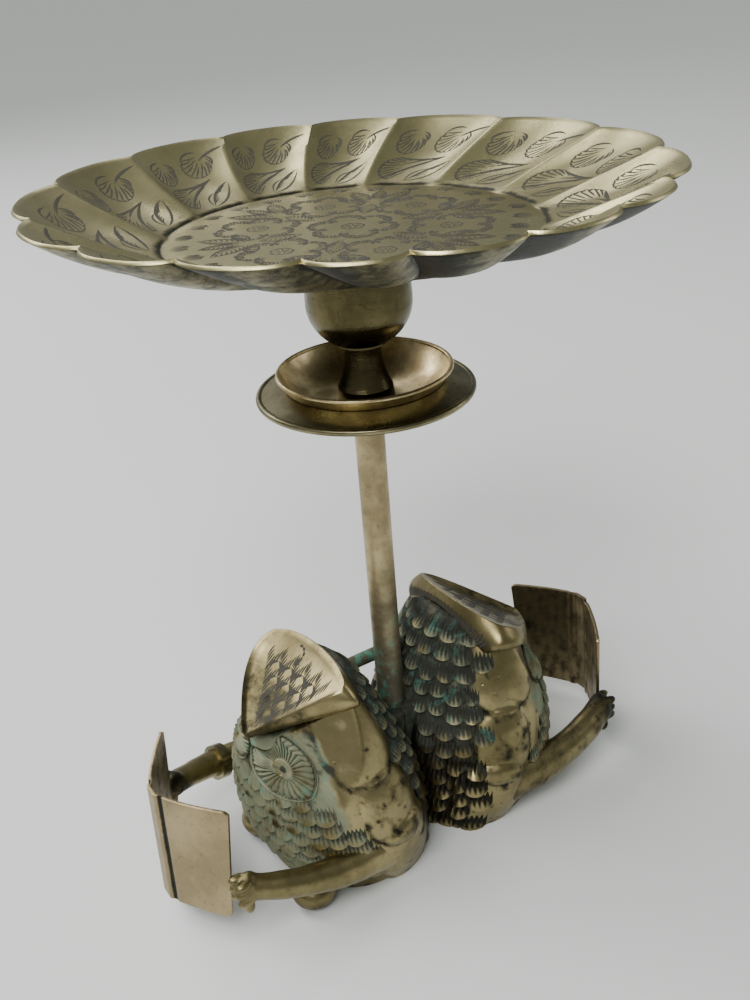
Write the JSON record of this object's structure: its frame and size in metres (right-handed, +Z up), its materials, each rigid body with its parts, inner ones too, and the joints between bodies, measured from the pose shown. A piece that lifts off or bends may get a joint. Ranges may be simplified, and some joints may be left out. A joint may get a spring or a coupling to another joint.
{
  "type": "tray lamp on a double owl base",
  "caption": "Brass tray lamp: a scalloped, swirled tray on a slender stem with a drip dish, rising between two seated owls that read books.",
  "frame": {"origin": "centre of the base's underside, on the axis of the stem, on the surface that the lamp stands on", "axes": "+Z up the stem to the tray; the owls face -X and +X"},
  "size_m": [0.2344, 0.2304, 0.29],
  "materials": {
    "tray_brass": "aged pressed brass, engraved, dark in the cuts",
    "turned_brass": "aged turned brass with fine lathe lines",
    "dish_brass": "worn brass, mottled inside the bowl",
    "stem_brass": "worn brass tube with brown tarnish",
    "owl_brass": "sand-cast brass, polished on high places, dark and green in the recesses",
    "book_brass": "brass sheet, plain outside, dark brown tarnish inside",
    "fibre": "hard red-brown fibre washer"
  },
  "bodies": {
    "stand": {"knop_cap": "turned_brass", "tulip_knop": "turned_brass", "trumpet_neck": "turned_brass", "drip_dish": "dish_brass", "drip_flange": "turned_brass", "stem_tube": "stem_brass", "tie_rod": "turned_brass", "base_washer": "turned_brass", "base_nut": "turned_brass", "bridge_bar": "stem_brass", "left_owl_body": "owl_brass", "right_owl_body": "owl_brass", "left_near_arm": "owl_brass", "left_far_arm": "owl_brass", "right_near_arm": "owl_brass", "right_far_arm": "owl_brass", "arm_cuff": "owl_brass", "left_book": "book_brass", "right_book": "book_brass"},
    "washer": {"tray_washer": "fibre"},
    "tray": {"tray": "tray_brass", "tray_stud": "turned_brass"}
  },
  "joints": [
    {"name": "tray_lift", "type": "slide", "parent": "stand", "child": "washer", "axis": [0, 0, 1], "range_m": [0, 0.0125]},
    {"name": "tray_unscrew", "type": "hinge", "parent": "washer", "child": "tray", "pos_m": [0, 0, 0.26], "axis": [0, 0, 1], "range_deg": [0, 2880]}
  ],
  "couplings": [
    {"joint": "tray_lift", "follows": "tray_unscrew", "m_per_rad": 0.00023873}
  ]
}
